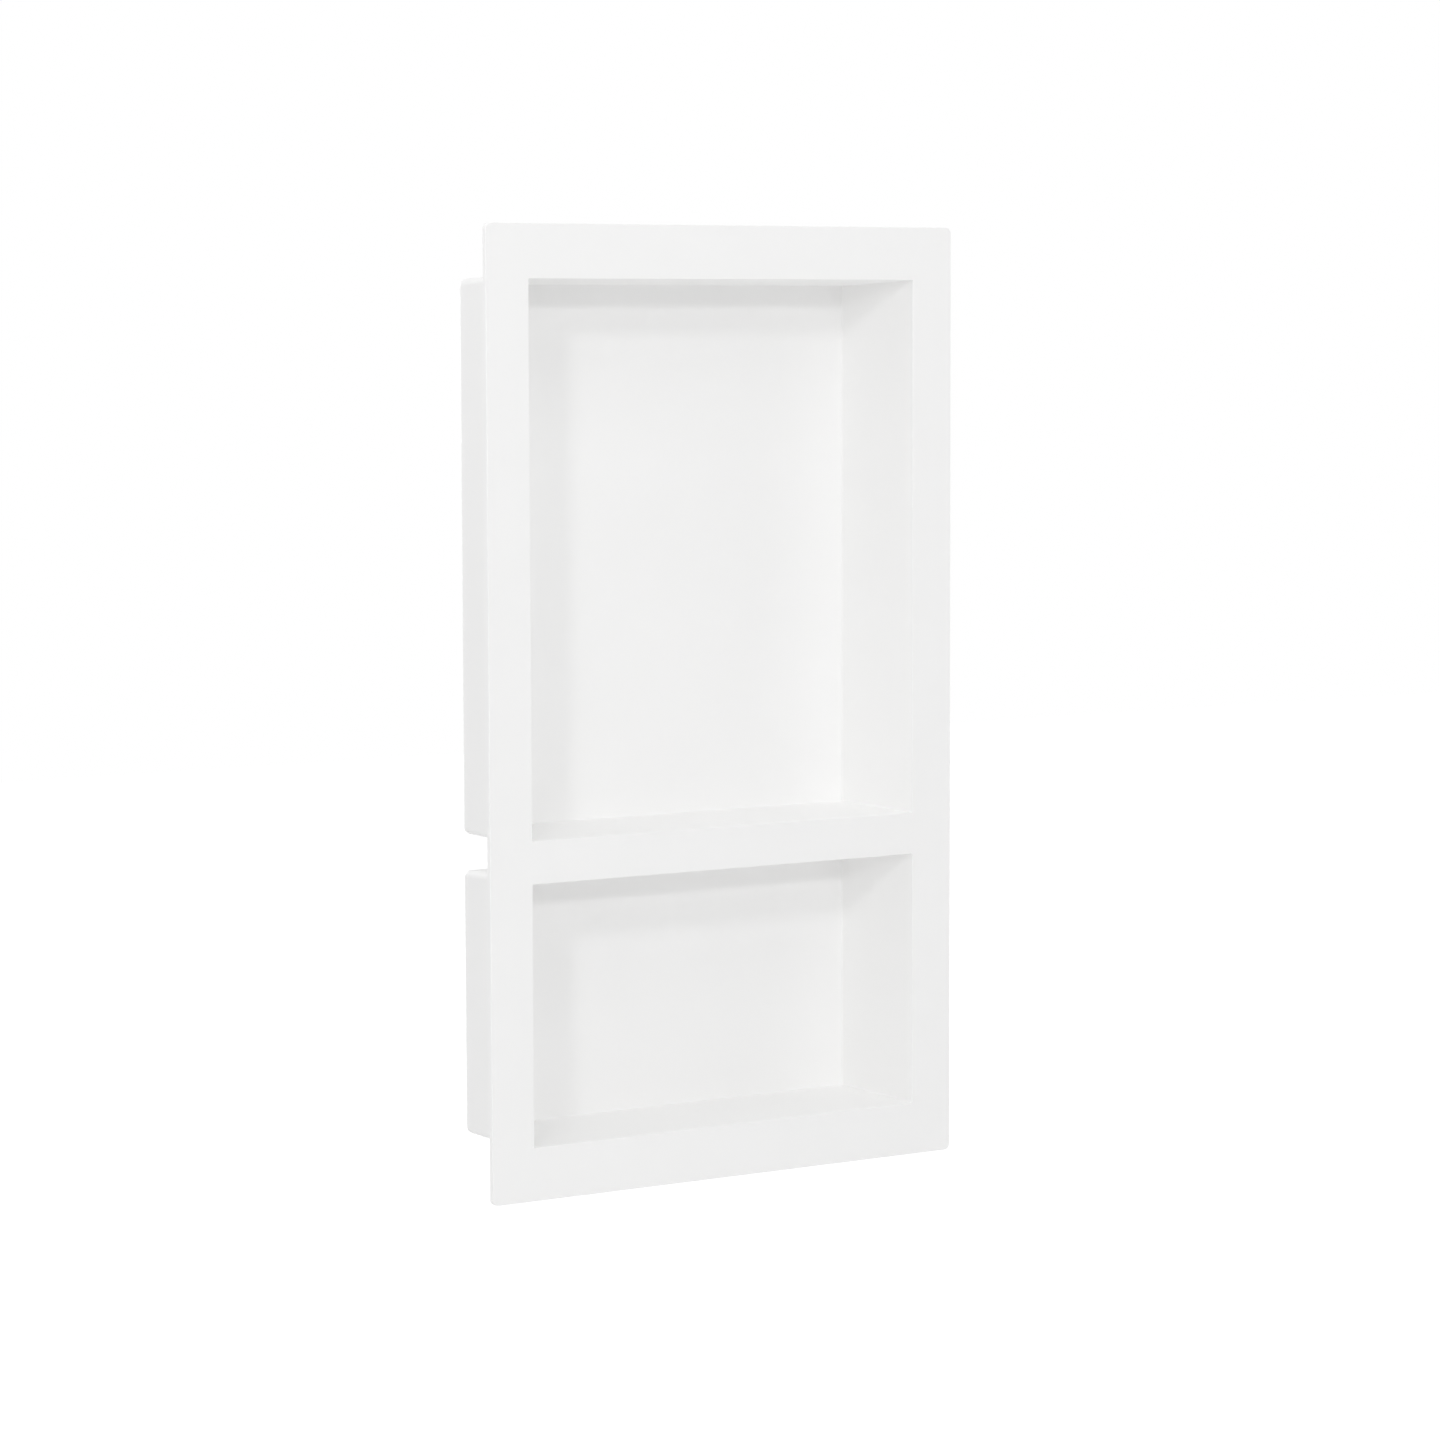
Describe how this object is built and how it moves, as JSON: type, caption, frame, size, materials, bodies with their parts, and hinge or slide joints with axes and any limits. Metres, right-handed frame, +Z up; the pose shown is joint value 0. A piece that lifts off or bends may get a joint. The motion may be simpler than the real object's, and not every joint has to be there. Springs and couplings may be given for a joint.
{
  "type": "shower niche insert",
  "caption": "White moulded shower niche for recessing into a wall, a flat flange with a tall open pocket over a short one, to hold bottles and soap.",
  "frame": {"origin": "middle of the flange's outline on its back face, which lies against the wall", "axes": "+X to the right seen from the room, +Y into the wall, +Z up"},
  "size_m": [0.4064, 0.0996, 0.7112],
  "materials": {
    "white_plastic": "neutral white moulded plastic, smooth satin, with a very fine even texture"
  },
  "bodies": {
    "root": {"niche_body": "white_plastic"}
  },
  "joints": []
}
